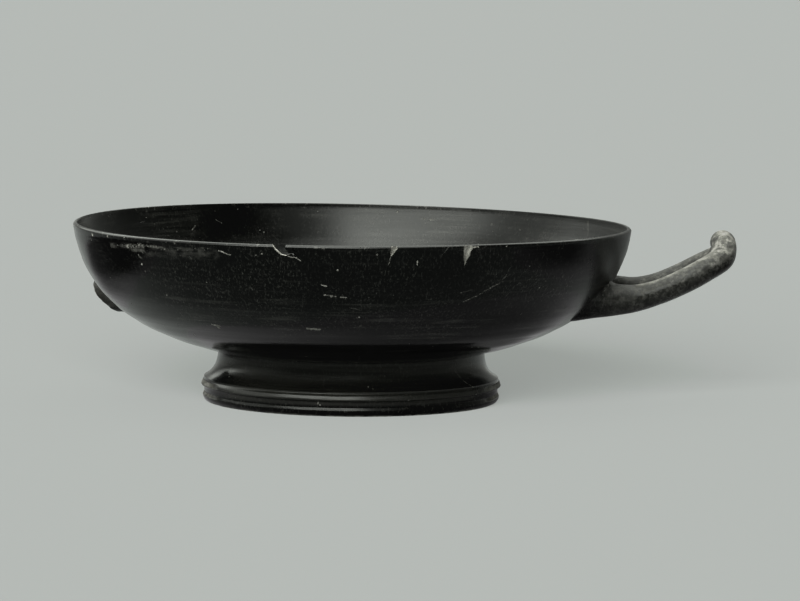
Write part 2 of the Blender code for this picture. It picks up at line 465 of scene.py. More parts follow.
@dataclass
class LoopHandle:
    """The loop handle that is left: a bar bent out from the wall and up, and back to the wall."""

    run: tuple[Triple, ...] = (
        (0.0700, 0.0172, 0.0364), (0.0800, 0.0170, 0.0366), (0.0880, 0.0162, 0.0366),
        (0.0960, 0.0154, 0.0371), (0.1040, 0.0150, 0.0394), (0.1120, 0.0146, 0.0430),
        (0.1190, 0.0124, 0.0468), (0.1243, 0.0082, 0.0501), (0.1255, 0.0044, 0.0532), (0.1252, 0.0, 0.0553),
    )
    half_width: float = 0.0043
    half_height: float = 0.00415
    root_width: float = 0.0016
    root_height: float = 0.0031
    flare_start: float = 0.1030
    flare_length: float = 0.0280
    flare_power: float = 1.2
    turn: float = math.radians(-3.5)
    fillet: float = 0.0026
    fillet_share: float = 0.75
    sides: int = 56
    spans: int = 9

    def stations(self) -> list[Vector]:
        """The bar's middle line, from the front root round the loop to the back root."""
        front = [Vector((out, -spread, height)) for out, spread, height in self.run]
        back = [Vector((out, spread, height)) for out, spread, height in reversed(self.run[:-1])]
        return front + back

    def half_sizes(self, out: float, share: float) -> Pair:
        """Half the bar's width and height at a distance out, with a share of the full flare."""
        flare = share * min(max((self.flare_start - out) / self.flare_length, 0.0), 1.0) ** self.flare_power
        return self.half_width + self.root_width * flare, self.half_height + self.root_height * flare

    def bar(
        self, name: str, stations: Sequence[Vector], share: float, turn: float, vessel: Vessel
    ) -> Thing:
        """A bar of oval section along stations, spread into the wall where it meets it.

        Args:
            name: The object's name.
            stations: The bar's middle line, before it is turned to its place.
            share: How much of the flare it takes.
            turn: Its angle round the cup's axis.
            vessel: The vessel that it joins.

        Returns:
            The closed bar, standing in its place.
        """
        path = smooth_through(stations, self.spans)
        angles = np.arange(self.sides) * math.tau / self.sides
        rows = []
        for index, middle in enumerate(path):
            along = (path[min(index + 1, len(path) - 1)] - path[max(index - 1, 0)]).normalized()
            side = along.cross(Vector((0, 0, 1))).normalized()
            up = side.cross(along)
            wide, tall = self.half_sizes(middle.x, share)
            pinch = self.hand_feel(index / len(path), angles)
            across = np.outer(wide * np.cos(angles) * pinch, side)
            rows.append(np.array(middle) + (across + np.outer(tall * np.sin(angles) * pinch, up)))
        ring = np.array(rows)
        centres = ring.mean(axis=1, keepdims=True)
        cos, sin = math.cos(turn), math.sin(turn)
        spin = np.array([[cos, sin, 0], [-sin, cos, 0], [0, 0, 1]])
        ring, centres = ring @ spin, centres @ spin
        outward = ring - centres
        outward /= np.linalg.norm(outward, axis=2, keepdims=True)
        upper = (1 + np.sin(angles)) / 2
        ring = ring + outward * (self.spread(vessel.wall_depth(ring)) * upper)[..., None]
        return solid(name, ring, False, Slot.GLOSS)

    def hand_feel(self, share: float, angles: np.ndarray) -> np.ndarray:
        """The slight unevenness of a bar rolled and bent by hand, round one section."""
        around = 0.012 * np.sin(2 * angles + 9 * share) + 0.008 * np.sin(3 * angles - 23 * share + 1)
        length = 0.012 * math.sin(31 * share + 0.4) + 0.008 * math.sin(67 * share)
        return 1 + around + length

    def spread(self, depth: np.ndarray) -> np.ndarray:
        """How far the bar's skin swells at each distance out of the wall, as a hollow fillet."""
        inside = np.clip(1 - depth / self.fillet, 0, 1)
        return self.fillet_share * self.fillet * (1 - np.sqrt(1 - inside**2))

    def build(self, vessel: Vessel) -> Thing:
        """The loop, cut off inside the wall's thickness."""
        loop = self.bar("loop_handle", self.stations(), 1.0, self.turn, vessel)
        return combined(loop, vessel.wall_core(), "DIFFERENCE")


@dataclass
class LostHandle:
    """What still stands of the other handle: the broken stub of its back root."""

    run: tuple[Triple, Triple] = ((0.0700, 0.0172, 0.0333), (0.0980, 0.0158, 0.0331))
    steps: int = 6
    proud: float = 0.0053
    peak: float = 0.0450
    taper: float = 0.0120
    taper_power: float = 0.60
    least_taper: float = 0.06
    break_heights: Pair = (0.0195, 0.0500)
    break_half_turn: float = math.radians(9)
    break_rows: int = 62
    break_columns: int = 60
    roughness: float = 0.00055
    lumps: float = 260.0
    lump_seed: float = -7.0
    block_depth: float = 0.03

    def break_block(self, handle: LoopHandle, vessel: Vessel) -> Thing:
        """Everything beyond the stub's break, with the break's own rough face."""
        out, aside, _ = self.run[1]
        turn = math.pi + handle.turn + math.atan2(-aside, out)
        heights = np.linspace(*self.break_heights, self.break_rows)
        turns = turn + np.linspace(-self.break_half_turn, self.break_half_turn, self.break_columns)
        radius, slope = vessel.outer_at(heights)
        share = np.clip((self.peak - heights) / self.taper, self.least_taper, 1) ** self.taper_power
        face = ringed((radius + self.proud * share * np.sqrt(1 + slope**2))[:, None], turns, heights[:, None])
        rough_face = roughened(face, self.roughness, self.lumps, self.lump_seed)
        return facing_block("break_block", rough_face, self.block_depth)

    def build(self, handle: LoopHandle, vessel: Vessel) -> Thing:
        """The stub behind, with its rough break in bare clay.

        Args:
            handle: The handle that it was like.
            vessel: The vessel that it joins.

        Returns:
            The stub as one object.
        """
        ends = [Vector((out, -spread, height)) for out, spread, height in self.run]
        steps = [ends[0].lerp(ends[1], step / self.steps) for step in range(self.steps + 1)]
        stub = handle.bar("back_stub", steps, 1.0, math.pi + handle.turn, vessel)
        stub = combined(stub, vessel.wall_core(), "DIFFERENCE")
        return combined(stub, self.break_block(handle, vessel), "DIFFERENCE")


def roughened(grid: np.ndarray, depth: float, scale: float, seed: float) -> np.ndarray:
    """A grid of points moved in and out from the axis, as rough as broken clay.

    Args:
        grid: Points of shape (rows, columns, 3).
        depth: The most that a point moves.
        scale: How many lumps stand in a metre.
        seed: A shift that makes each break its own.

    Returns:
        The moved points.
    """
    moved = grid.copy()
    for row in range(grid.shape[0]):
        for column in range(grid.shape[1]):
            spot = Vector(grid[row, column])
            away = Vector((spot.x, spot.y, 0)).normalized()
            place_in_noise = spot * scale + Vector((seed, 0, 0))
            lump = noise.fractal(place_in_noise, 0.9, 2.1, 4)
            moved[row, column] = spot + away * depth * lump
    return moved


def facing_block(name: str, face: np.ndarray, depth: float) -> Thing:
    """A block of clay behind a rough face that looks towards the cup's axis.

    Args:
        name: The object's name.
        face: The face's points, of shape (rows, columns, 3).
        depth: How far the block reaches outwards behind it.

    Returns:
        The closed block.
    """
    away = face.copy()
    away[..., 2] = 0
    away /= np.linalg.norm(away, axis=2, keepdims=True)
    back = face + away * depth
    build = bmesh.new()
    layers = [[[build.verts.new(point) for point in row] for row in side] for side in (face, back)]
    rows, columns = face.shape[:2]
    for layer in layers:
        for row, after in zip(layer, layer[1:]):
            for column in range(columns - 1):
                build.faces.new((row[column], after[column], after[column + 1], row[column + 1]))
    near, far = layers
    border = [(0, c) for c in range(columns)] + [(r, columns - 1) for r in range(1, rows)]
    border += [(rows - 1, c) for c in range(columns - 2, -1, -1)] + [(r, 0) for r in range(rows - 2, 0, -1)]
    for (r, c), (s, d) in zip(border, border[1:] + border[:1]):
        build.faces.new((near[r][c], near[s][d], far[s][d], far[r][c]))
    return made_solid(name, build, Slot.CLAY)


@dataclass(frozen=True)
class Chip:
    """A piece lost from the wall's edge.

    The corners are distances in millimetres: along the rim, to the right as seen from outside, and below the
    rim's top. turn is in degrees. The cutter starts clear of the skin, and goes through the wall in equal
    steps, or hollows it to the depth.
    """

    name: str
    turn: float
    corners: tuple[Pair, ...]
    depth: float = 0.0
    through: bool = False
    slot: Slot = Slot.CLAY
    rough: float = 0.00016
    skin_rough: float = 0.35
    edge_gap: float = 0.00035
    clear: float = 0.004
    skin_step: float = 0.0003
    through_step: float = 0.0006
    through_steps: int = 21
    hollow_steps: int = 9
    least_ring: float = 0.001

    def outline(self) -> list[Pair]:
        """The chip's edge with extra points, jittered as a brittle edge breaks."""
        shaken = []
        corners = [mm(*corner) for corner in (*self.corners, self.corners[0])]
        for along, below in spaced(corners, self.edge_gap)[:-1]:
            wave = noise.noise_vector(Vector((along, below, math.radians(self.turn))) * 900)
            shaken.append((along + wave.x * self.rough, below + wave.y * self.rough))
        return shaken

    def layers(self) -> list[Pair]:
        """The cutter's rings from outside inwards: each one's share of the full outline, and its way out."""
        rings = [(0.0, self.clear), (1.0, self.clear)]
        if self.through:
            steps = range(1, self.through_steps + 1)
            rings += [(1.0, self.clear - step * self.through_step) for step in steps]
            return [*rings, (0.0, rings[-1][1])]
        shares = [step / self.hollow_steps for step in range(1, self.hollow_steps + 1)]
        hollow = [(1 - share, -self.depth * math.sin(share * math.pi / 2)) for share in shares]
        return [*rings, (1.0, self.skin_step), *hollow]

    def cutter(self, vessel: Vessel) -> Thing:
        """The solid that takes the chip out of the wall.

        Args:
            vessel: The vessel that is chipped.

        Returns:
            The cutter, with its inner face as the break.
        """
        edge = np.array(self.outline())
        middle = edge.mean(axis=0)
        rows = []
        for share, out in self.layers():
            ring = middle + (edge - middle) * max(share, self.least_ring)
            height = vessel.rim_height - ring[:, 1]
            skin, _ = vessel.outer_at(height)
            angle = math.radians(self.turn) + ring[:, 0] / vessel.rim_radius
            rows.append(self.shaken(ringed(skin + out, angle, height), out))
        return solid(self.name, np.array(rows), True, self.slot)

    def shaken(self, spots: np.ndarray, out: float) -> np.ndarray:
        """The break's points moved about, more inside the wall than at its skin."""
        strength = self.rough * (1.0 if out < 0 else self.skin_rough)
        moved = spots.copy()
        for index, spot in enumerate(spots):
            wave = noise.noise_vector(Vector(spot) * 750) + noise.noise_vector(Vector(spot) * 2100) * 0.5
            moved[index] = spot + np.array(wave) * strength
        return moved


def rim_damage() -> list[Chip]:
    """Every chip in the rim, and the lost handle's scar, that is deep enough to need its own shape."""
    notch = ((-3.0, -1.2), (2.2, -1.2), (2.35, 1.0), (3.6, 3.1), (2.3, 3.45), (0.9, 3.1), (-0.4, 2.2))
    spall = ((-1.6, 0.7), (0.2, 0.6), (2.2, 2.2), (2.9, 4.7), (1.2, 3.6), (-0.4, 3.2), (-1.9, 3.1))
    middle = ((-1.2, -1.0), (1.7, -1.0), (1.2, 0.9), (-0.5, 3.0), (-1.1, 3.5), (-1.2, 1.6))
    right = ((-1.5, -1.0), (2.3, -1.0), (1.7, 1.6), (1.0, 3.8), (0.2, 5.2), (-0.6, 7.0), (-1.0, 4.4))
    scar = tuple((4.6 * math.cos(step * 0.45), 26.2 + 5.4 * math.sin(step * 0.45)) for step in range(14))
    return [
        Chip("notch", -104.5, notch, through=True),
        Chip("notch_spall", -101.9, spall, 0.0006, slot=Slot.GLOSS),
        Chip("middle_chip", -81.9, middle, 0.0009),
        Chip("right_chip", -67.1, right, 0.0010),
        Chip("front_root_scar", 185.9, scar, 0.00035),
    ]


class Wires:
    """A tree of shader nodes, made and joined one call at a time."""

    def __init__(self, tree: bpy.types.NodeTree) -> None:
        """Starts on a tree that has its own first nodes."""
        self.tree = tree

    @classmethod
    def of(cls, holder: Holder, *owners: object) -> "Wires":
        """The nodes of a material or a world, switched on."""
        holder.use_nodes = True
        return cls(holder.node_tree, *owners)

    def feed(self, socket: Socket, value: object) -> None:
        """Joins a socket to another, or sets it to a plain value."""
        if isinstance(value, bpy.types.NodeSocket):
            self.tree.links.new(value, socket)
        else:
            socket.default_value = value

    def node(self, kind: str, values: Values = (), **settings: object) -> bpy.types.Node:
        """A new node with its settings, and with sockets fed by their order or by their names.

        Args:
            kind: The node's type, without the part of the name that all types share.
            values: What feeds its sockets, as a row, or by socket.
            settings: Its other settings.

        Returns:
            The node.
        """
        made = self.tree.nodes.new("ShaderNode" + kind)
        for name, value in settings.items():
            setattr(made, name, value)
        for key, value in values.items() if isinstance(values, dict) else enumerate(values):
            self.feed(made.inputs[key], value)
        return made

    def put(self, name: str, value: object) -> None:
        """Sets or joins one of the main shader's sockets."""
        self.feed(self.tree.nodes["Principled BSDF"].inputs[name], value)

    def place(self) -> Socket:
        """Where on the object a point is, in metres."""
        return self.node("TexCoord").outputs["Object"]

    def math(self, operation: str, *values: object, clamp: bool = False) -> Socket:
        """One sum on plain numbers."""
        return self.node("Math", values, operation=operation, use_clamp=clamp).outputs[0]

    def scaled(self, value: Socket, by: float, plus: object) -> Socket:
        """A number times one number plus another."""
        return self.math("MULTIPLY_ADD", value, by, plus)

    def times(self, value: Socket, by: object) -> Socket:
        """A number times another."""
        return self.math("MULTIPLY", value, by)

    def vector(self, operation: str, *values: object) -> Socket:
        """One sum on vectors, which gives a vector or a number."""
        made = self.node("VectorMath", values, operation=operation)
        return made.outputs["Value" if operation in NUMBERS else "Vector"]

    def stretched(self, value: Socket, x: float, y: float, z: float) -> Socket:
        """A vector with each of its numbers multiplied by its own."""
        return self.vector("MULTIPLY", value, Vector((x, y, z)))

    def split(self, value: Socket) -> Sequence[Socket]:
        """The three numbers of a vector."""
        return self.node("SeparateXYZ", (value,)).outputs

    def built(self, x: object, y: object, z: object) -> Socket:
        """A vector from three numbers."""
        return self.node("CombineXYZ", (x, y, z)).outputs[0]

    def noise(
        self, spot: Socket, scale: float, detail: float = 3.0, rough: float = 0.55, out: str = "Fac"
    ) -> Socket:
        """Cloudy noise round a middle of one half."""
        values = {"Vector": spot, "Scale": scale, "Detail": detail, "Roughness": rough}
        return self.node("TexNoise", values).outputs[out]

    def clouds(self, spot: Socket, scale: float, low: float, high: float, detail: float = 3.0) -> Socket:
        """Soft-edged patches of noise from 0 to 1, which start at a low value and are whole at a high one."""
        return self.spread(self.noise(spot, scale, detail), low, high)

    def spread(self, value: Socket, low: float, high: float) -> Socket:
        """A value stretched so that low becomes 0 and high becomes 1, with soft ends."""
        values = {"Value": value, "From Min": low, "From Max": high}
        return self.node("MapRange", values, interpolation_type="SMOOTHSTEP").outputs["Result"]

    def window(self, value: Socket, low: float, high: float, low_blur: float, high_blur: float = 0) -> Socket:
        """1 where a value lies between two others, with soft ends, which are alike if one blur is given."""
        high_blur = high_blur or low_blur
        rise = self.spread(value, low - low_blur / 2, low + low_blur / 2)
        fall = self.spread(value, high + high_blur / 2, high - high_blur / 2)
        return self.times(rise, fall)

    def product(self, *values: object) -> Socket:
        """Numbers multiplied together."""
        return reduce(self.times, values)

    def most(self, *values: object) -> Socket:
        """The greatest of several numbers."""
        return reduce(partial(self.math, "MAXIMUM"), values)

    def blend(self, share: object, a: object, b: object) -> Socket:
        """A colour between two others."""
        return self.node("Mix", {0: share, 6: a, 7: b}, data_type="RGBA").outputs[2]

    def between(self, share: Socket, a: object, b: object) -> Socket:
        """A number between two others."""
        return self.node("Mix", {0: share, 2: a, 3: b}, data_type="FLOAT").outputs[0]

    def relief(self, *layers: tuple[Socket, float]) -> None:
        """Gives the main shader a fine relief from layers of height from 0 to 1, each with its depth."""
        below: dict[str, Socket] = {}
        for height, depth in layers:
            made = self.node("Bump", {"Distance": depth, "Height": height, **below})
            below = {"Normal": made.outputs["Normal"]}
        self.put("Normal", below["Normal"])


@dataclass(frozen=True)
class BareClay:
    """The fired clay inside the wall, where a break or a rub shows it."""

    pale: Colour = (0.33, 0.322, 0.302, 1.0)
    dark: Colour = (0.17, 0.166, 0.154, 1.0)
    soot: Colour = (0.055, 0.0535, 0.050, 1.0)
    roughness: float = 0.88
    gleam: float = 0.25
    grain_share: float = 0.7
    dirty: float = 0.58
    stub_x: Pair = (-0.070, -0.076)
    coarse_grain: float = 0.00030
    fine_grain: float = 0.00006

    def tone(self, wires: Wires, spot: Socket) -> Socket:
        """The clay's colour at a place: pale and cloudy, with darker grains and dirt in its hollows."""
        body = wires.blend(wires.clouds(spot, 420.0, 0.36, 0.64), self.dark, self.pale)
        grains = wires.clouds(spot, 2600.0, 0.60, 0.70, 1.0)
        return wires.blend(wires.times(grains, self.grain_share), body, self.soot)

    def dress(self) -> None:
        """Makes the clay's material, with its grain, and with old dirt on the stub's break."""
        wires = Wires.of(Slot.CLAY.material)
        spot = wires.place()
        old_break = wires.times(wires.spread(wires.split(spot)[0], *self.stub_x), self.dirty)
        wires.put("Base Color", wires.blend(old_break, self.tone(wires, spot), self.soot))
        wires.put("Roughness", self.roughness)
        wires.put("Specular IOR Level", self.gleam)
        coarse = wires.noise(spot, 900.0, 5.0, 0.62)
        fine = wires.noise(spot, 3600.0, 2.0)
        wires.relief((coarse, self.coarse_grain), (fine, self.fine_grain))


@dataclass(frozen=True)
class Mark:
    """A scratch, speck or rub on one skin of the wall.

    Its ends are a turn in degrees and a height in millimetres, and half_width is in millimetres. strength is
    the share of bare clay that shows in it.
    """

    start: Pair
    end: Pair
    half_width: float
    strength: float
    skin: Skin = Skin.OUTSIDE

    def ends(self, rim_radius: float) -> tuple[Vector, Vector]:
        """Both ends in the gloss's own measure of place: along the rim, up, and which skin."""
        return tuple(
            Vector((math.radians(turn) * rim_radius, height * MM, float(self.skin is Skin.INSIDE)))
            for turn, height in (self.start, self.end)
        )


def speck(turn: float, height: float, half_width: float, strength: float, skin: Skin = Skin.OUTSIDE) -> Mark:
    """A mark that is as wide as it is long."""
    return Mark((turn, height), (turn + 0.1, height), half_width, strength, skin)


def marks() -> list[Mark]:
    """Every mark in the gloss that is large enough to know by its place."""
    inside = Skin.INSIDE
    return [
        speck(-155.4, 58.2, 0.60, 0.95), speck(-156.6, 56.6, 0.50, 0.50), speck(-148.2, 58.6, 0.40, 0.80),
        speck(-142.0, 58.9, 0.30, 0.60), Mark((-147.0, 55.6), (-141.0, 56.3), 0.90, 0.34),
        Mark((-141.5, 56.2), (-136.0, 56.6), 0.80, 0.50), Mark((-140.5, 55.3), (-135.8, 54.8), 0.70, 0.40),
        Mark((-137.5, 57.2), (-130.0, 56.6), 0.60, 0.44), Mark((-130.5, 56.3), (-119.0, 57.2), 0.70, 0.26),
        Mark((-136.0, 55.0), (-118.0, 55.6), 1.80, 0.20), Mark((-138.0, 53.6), (-137.2, 52.3), 0.30, 0.48),
        speck(-137.6, 50.6, 0.36, 0.95), speck(-129.5, 58.6, 0.30, 0.50), speck(-127.3, 58.6, 0.34, 0.60),
        Mark((-116.9, 56.9), (-114.4, 55.8), 0.26, 0.70), speck(-107.8, 56.5, 0.32, 0.80),
        Mark((-112.0, 58.9), (-106.5, 58.9), 0.18, 0.25), speck(-123.7, 30.5, 0.55, 0.95),
        Mark((-124.9, 31.3), (-122.9, 30.9), 0.34, 0.80), speck(-135.8, 26.3, 0.34, 0.55),
        speck(-133.3, 40.5, 0.30, 0.80), speck(-121.0, 46.2, 0.24, 0.60),
        Mark((-102.5, 56.0), (-101.2, 55.7), 0.20, 0.90), Mark((-101.2, 55.7), (-100.7, 55.3), 0.20, 0.90),
        Mark((-100.7, 55.3), (-100.1, 54.6), 0.20, 0.80), Mark((-100.4, 31.6), (-97.3, 31.4), 0.42, 0.80),
        Mark((-96.1, 46.8), (-95.1, 46.5), 0.28, 0.80), Mark((-95.7, 43.5), (-93.3, 43.1), 0.26, 0.60),
        speck(-94.2, 43.0, 0.46, 0.85), Mark((-92.3, 42.9), (-91.1, 42.7), 0.26, 0.80),
        speck(-92.9, 51.8, 0.32, 0.90), Mark((-90.4, 39.3), (-88.5, 38.6), 0.22, 0.40),
        Mark((-82.4, 56.2), (-82.9, 53.8), 0.20, 0.46), Mark((-82.9, 53.8), (-83.1, 52.8), 0.20, 0.36),
        Mark((-83.1, 52.8), (-83.6, 50.2), 0.20, 0.25), Mark((-77.2, 54.8), (-77.2, 53.7), 0.26, 0.75),
        Mark((-71.0, 59.0), (-71.8, 57.4), 0.20, 0.42), Mark((-66.2, 58.9), (-64.7, 59.0), 0.30, 0.70),
        speck(-58.4, 58.9, 0.30, 0.65), Mark((-66.0, 40.8), (-62.0, 43.6), 0.26, 0.46),
        Mark((-62.0, 43.9), (-58.5, 46.8), 0.26, 0.48), Mark((-58.5, 47.1), (-57.3, 49.4), 0.22, 0.40),
        Mark((-67.2, 43.8), (-64.6, 45.0), 0.22, 0.38), speck(-88.4, 36.0, 0.28, 0.60),
        speck(-52.0, 52.0, 0.24, 0.60), speck(-47.4, 44.4, 0.24, 0.70),
        Mark((-15.9, 41.9), (-17.8, 39.4), 0.28, 0.40), Mark((-17.8, 39.4), (-18.5, 34.6), 0.24, 0.34),
        Mark((-41.0, 13.0), (-37.8, 9.6), 0.20, 0.55), Mark((-37.8, 9.4), (-35.4, 7.5), 0.22, 0.80),
        speck(-83.2, 9.2, 0.34, 0.60), speck(-81.6, 8.8, 0.36, 0.75), speck(-102.6, 4.0, 0.44, 0.95),
        speck(-101.8, 3.4, 0.28, 0.70), Mark((27.6, 57.4), (26.2, 54.5), 0.60, 0.20, inside),
        Mark((26.2, 54.5), (24.8, 49.0), 0.45, 0.24, inside),
        Mark((74.2, 54.7), (71.0, 54.4), 0.45, 0.34, inside), speck(73.2, 53.6, 0.32, 0.34, inside),
        speck(56.9, 53.9, 0.46, 0.34, inside), speck(54.1, 56.3, 0.38, 0.24, inside),
        speck(47.6, 56.2, 0.32, 0.26, inside), speck(49.0, 52.6, 0.30, 0.22, inside),
        speck(137.7, 52.5, 0.36, 0.50, inside), Mark((129.4, 51.6), (128.2, 52.8), 0.26, 0.42, inside),
        Mark((144.5, 55.4), (141.6, 55.5), 0.18, 0.25, inside),
        Mark((122.4, 54.8), (121.0, 53.4), 0.16, 0.25, inside),
    ]


class GlossWires(Wires):
    """The gloss's nodes, with what is known of a point: where it is, how it faces, and the noises there."""

    def __init__(self, tree: bpy.types.NodeTree, gloss: "BlackGloss") -> None:
        """Works out everything that more than one part of the gloss needs."""
        super().__init__(tree)
        self.here = self.vector("SUBTRACT", self.place(), gloss.axis)
        self.x, self.y, self.z = self.split(self.here)
        around = self.times(self.math("ARCTAN2", self.y, self.x), gloss.rim_radius)
        outward = self.vector("NORMALIZE", self.built(self.x, self.y, 0.0))
        self.facing = self.node("NewGeometry").outputs["Normal"]
        self.inner = self.math("LESS_THAN", self.vector("DOT_PRODUCT", self.facing, outward), 0.0)
        self.up = self.split(self.facing)[2]
        reach = self.vector("LENGTH", self.built(self.x, self.y, 0.0))
        self.handle = self.spread(reach, *(gloss.rim_radius + out for out in gloss.handle_out))
        middled = self.vector("SUBTRACT", self.noise(self.here, 700.0, out="Color"), Vector((0.5, 0.5, 0.5)))
        shake = self.stretched(middled, gloss.ragged, gloss.ragged, 0.0)
        self.flat = self.built(around, self.z, self.inner)
        self.spot = self.vector("ADD", self.flat, shake)
        self.wheel = self.noise(self.stretched(self.here, 1.0, 1.0, gloss.wheel_squeeze), 34.0, 4.0, 0.6)
        self.flecks = self.noise(self.stretched(self.here, 1.0, 1.0, 0.5), 1500.0, 4.0, 0.72)
        self.cloud = self.noise(self.here, 55.0, 4.0, 0.6)


@dataclass(frozen=True)
class BlackGloss:
    """The fired black slip, with its wheel streaks, pits and worn places.

    A pair holds the two heights or distances, in metres, between which a part of the cup lies or a look sets
    in. handle_out and crown count outwards from the rim's radius, and lip counts down from the rim's top.
    Specks have a spacing, a greatest radius and the share of places that hold one.
    """

    axis: Vector
    rim_radius: float
    rim_height: float
    deep: Colour = (0.0008, 0.0009, 0.0008, 1.0)
    thin: Colour = (0.0760, 0.0750, 0.0700, 1.0)
    streak: Colour = (0.0390, 0.0385, 0.0358, 1.0)
    clay: BareClay = BareClay()
    least_rough: float = 0.07
    most_rough: float = 0.15
    gleam: float = 0.36
    wait: float = 1e-9
    ragged: float = 0.0009
    handle_out: Pair = (0.0015, 0.0045)
    wheel_squeeze: float = 26.0
    low_wall: Pair = (0.0185, 0.041)
    high_wall: float = 0.042
    # Heights of the painted light on the front and back of the stem and the top of the foot.
    painted_stem_light: Pair = (0.0032, 0.0185)
    stem: Pair = (0.0088, 0.0165)
    # Distances out from the axis over which the stem's painted light fades towards the sides.
    painted_stem_light_sides: Pair = (0.0460, 0.0380)
    foot_sides: Pair = (0.0435, 0.0490)
    bead_edge: Pair = (0.0053, 0.0067)
    ring_edge: Pair = (0.0017, 0.0028)
    sole: Pair = (0.0003, -0.0004)
    lip: Pair = (0.0022, 0.0002)
    crown: Pair = (0.0215, 0.0275)
    root_x: Pair = (0.076, 0.087)
    root_z: Pair = (0.026, 0.048)
    stub_flank: Pair = (-0.0785, -0.0810)
    near_handle: Pair = (0.066, 0.088)
    crisp: float = 0.0004
    fine_specks: Triple = (0.0026, 0.00040, 0.30)
    coarse_specks: Triple = (0.0085, 0.00070, 0.34)
    wheel_relief: float = 0.000055
    peel_relief: float = 0.000016
    fleck_relief: float = 0.000005
    pit_relief: float = 0.00009

    def stroke_group(self) -> bpy.types.NodeTree:
        """A group that adds one mark to the marks before it.

        It hands the spot on only when it is done, so that the renderer works out one mark at a time.

        Returns:
            The group.
        """
        tree = bpy.data.node_groups.new("stroke", "ShaderNodeTree")
        for name in ("Spot", "Start", "Run"):
            tree.interface.new_socket(name, in_out="INPUT", socket_type="NodeSocketVector")
        for name in ("Width", "Strength", "Before"):
            tree.interface.new_socket(name, in_out="INPUT", socket_type="NodeSocketFloat")
        tree.interface.new_socket("After", in_out="OUTPUT", socket_type="NodeSocketFloat")
        tree.interface.new_socket("Same Spot", in_out="OUTPUT", socket_type="NodeSocketVector")
        wires = Wires(tree)
        given = tree.nodes.new("NodeGroupInput").outputs
        run = given["Run"]
        away = wires.vector("SUBTRACT", given["Spot"], given["Start"])
        reached, whole = wires.vector("DOT_PRODUCT", away, run), wires.vector("DOT_PRODUCT", run, run)
        reach = wires.math("DIVIDE", reached, whole, clamp=True)
        along = wires.node("VectorMath", {0: run, "Scale": reach}, operation="SCALE")
        gap = wires.vector("DISTANCE", away, along.outputs[0])
        inside = wires.spread(wires.math("DIVIDE", gap, given["Width"]), 1.35, 0.45)
        after = wires.math("MAXIMUM", wires.times(inside, given["Strength"]), given["Before"])
        made = tree.nodes.new("NodeGroupOutput").inputs
        wires.feed(made["After"], after)
        wires.feed(made["Same Spot"], wires.vector("ADD", given["Spot"], wires.times(after, self.wait)))
        return tree

    def known_marks(self, wires: Wires, spot: Socket) -> Socket:
        """All the known marks: how much clay shows at a spot."""
        group = self.stroke_group()
        shown: object = 0.0
        for mark in marks():
            start, end = mark.ends(self.rim_radius)
            size = {"Width": mark.half_width * MM, "Strength": mark.strength}
            values = {"Spot": spot, "Start": start, "Run": end - start, **size, "Before": shown}
            shown, spot = wires.node("Group", values, node_tree=group).outputs
        return shown

    def specks(self, wires: Wires, spot: Socket, cell: float, size: float, share: float) -> Socket:
        """Chance specks of clay, in a share of the cells of a grid.

        Args:
            wires: The tree that they are made in.
            spot: Where on the cup a point is.
            cell: How far apart the cells are.
            size: The widest speck's radius.
            share: The share of cells that hold one.

        Returns:
            How much clay shows, from 0 to 1.
        """
        made = wires.node("TexVoronoi", {"Vector": spot, "Scale": 1 / cell})
        chance, width, depth = wires.split(made.outputs["Color"])
        radius = wires.times(wires.math("POWER", width, 2.0), size / cell)
        inside = wires.spread(wires.math("DIVIDE", made.outputs["Distance"], radius), 1.3, 0.6)
        held = wires.math("LESS_THAN", chance, share)
        return wires.product(inside, held, depth)

    def tone(self, at: GlossWires) -> Socket:
        """The slip's colour: black, and browner where it lies thin.

        Args:
            at: The gloss's nodes.

        Returns:
            The colour, with the wheel's streaks, the flecks, a painted light on the front and back of the
            stem and the top of the foot, and the haze inside.
        """
        low_wall = at.window(at.z, *self.low_wall, 0.004, 0.022)
        streaks = at.product(
            at.spread(at.wheel, 0.50, 0.68), at.scaled(low_wall, 0.85, 0.15),
            at.spread(at.cloud, 0.35, 0.62), at.scaled(at.inner, -0.8, 1.0),
        )
        flecking = at.product(
            at.spread(at.flecks, 0.49, 0.78), at.scaled(at.inner, -0.5, 1.0),
            at.scaled(at.spread(at.cloud, 0.3, 0.7), 0.8, 0.30),
            at.scaled(at.spread(at.z, self.rim_height, self.high_wall), 0.35, 0.65),
        )
        # Painted light: a paler tone, streaked like the wheel's marks, on the front and back of the stem,
        # where the bowl above leaves the gloss dark.
        painted_stem_light = at.product(
            at.window(at.z, *self.painted_stem_light, 0.001, 0.002),
            at.spread(at.math("ABSOLUTE", at.x), *self.painted_stem_light_sides),
            at.scaled(at.spread(at.wheel, 0.38, 0.60), 0.35, 0.72),
        )
        haze = at.product(at.inner, at.spread(at.wheel, 0.42, 0.66), at.spread(at.cloud, 0.40, 0.66), 0.42)
        tone = at.blend(at.most(streaks, painted_stem_light, haze), self.deep, self.streak)
        return at.blend(flecking, tone, self.thin)

    def scratches(self, at: GlossWires) -> Socket:
        """The known marks with flaked edges, and smeared thinly round the wall."""
        known = self.known_marks(at, at.spot)
        flaking = at.noise(at.here, 1500.0, 2.0, 0.6)
        flaked = at.product(
            at.spread(known, 0.02, 0.12),
            at.spread(at.math("ADD", known, at.scaled(flaking, 1.4, -0.7)), 0.42, 0.72),
        )
        drawn = at.stretched(at.flat, 0.35, 1.0, 1.0)
        return at.most(flaked, at.product(known, at.clouds(drawn, 620.0, 0.36, 0.64), 0.62))

